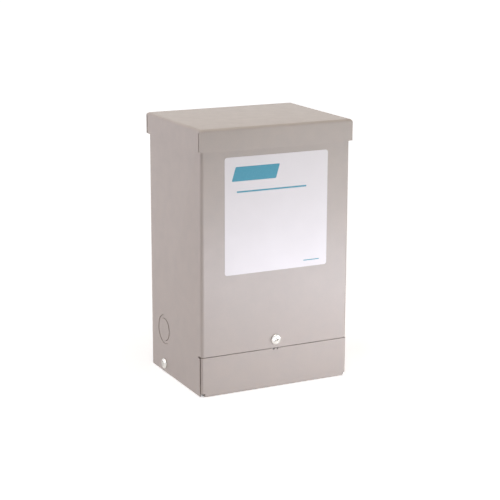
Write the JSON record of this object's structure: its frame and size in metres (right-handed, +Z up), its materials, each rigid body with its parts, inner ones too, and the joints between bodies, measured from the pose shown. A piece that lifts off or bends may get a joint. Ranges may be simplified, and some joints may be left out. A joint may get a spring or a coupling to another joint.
{
  "type": "buck-boost transformer",
  "caption": "Small wall-hung dry-type transformer: potted core in a folded sheet-steel case with a top cap, a wiring compartment behind a screwed cover, conduit knockouts and wall brackets.",
  "frame": {"origin": "centre of the overall box on the floor plane, level with the lower edges of the case", "axes": "+Z up, -Y out of the front panel with the label and cover, +Y towards the wall, +X to the right seen from the front"},
  "size_m": [0.1552, 0.1276, 0.246],
  "materials": {
    "case_paint": "satin warm grey enamel",
    "zinc_plate": "dull zinc plate",
    "screw_zinc": "bright zinc plate",
    "ground_green": "green dye over zinc",
    "potting": "sand-filled resin",
    "label_white": "semi-gloss printed film"
  },
  "bodies": {
    "root": {"potted_core": "potting", "back_plate": "case_paint", "upper_wall_bracket": "zinc_plate", "lower_wall_bracket": "zinc_plate", "case_wrapper": "case_paint", "bottom_plate": "case_paint", "top_cap": "case_paint", "wiring_cover": "case_paint", "cover_tab": "zinc_plate", "cover_nut": "zinc_plate", "cover_screw": "screw_zinc", "left_base_screw": "screw_zinc", "right_base_screw": "screw_zinc", "left_knockout_ring": "case_paint", "left_knockout_slug": "case_paint", "right_knockout_ring": "case_paint", "right_knockout_slug": "case_paint", "bottom_knockout_ring": "case_paint", "bottom_knockout_slug": "case_paint", "ground_screw": "ground_green", "front_label": "label_white"}
  },
  "joints": []
}
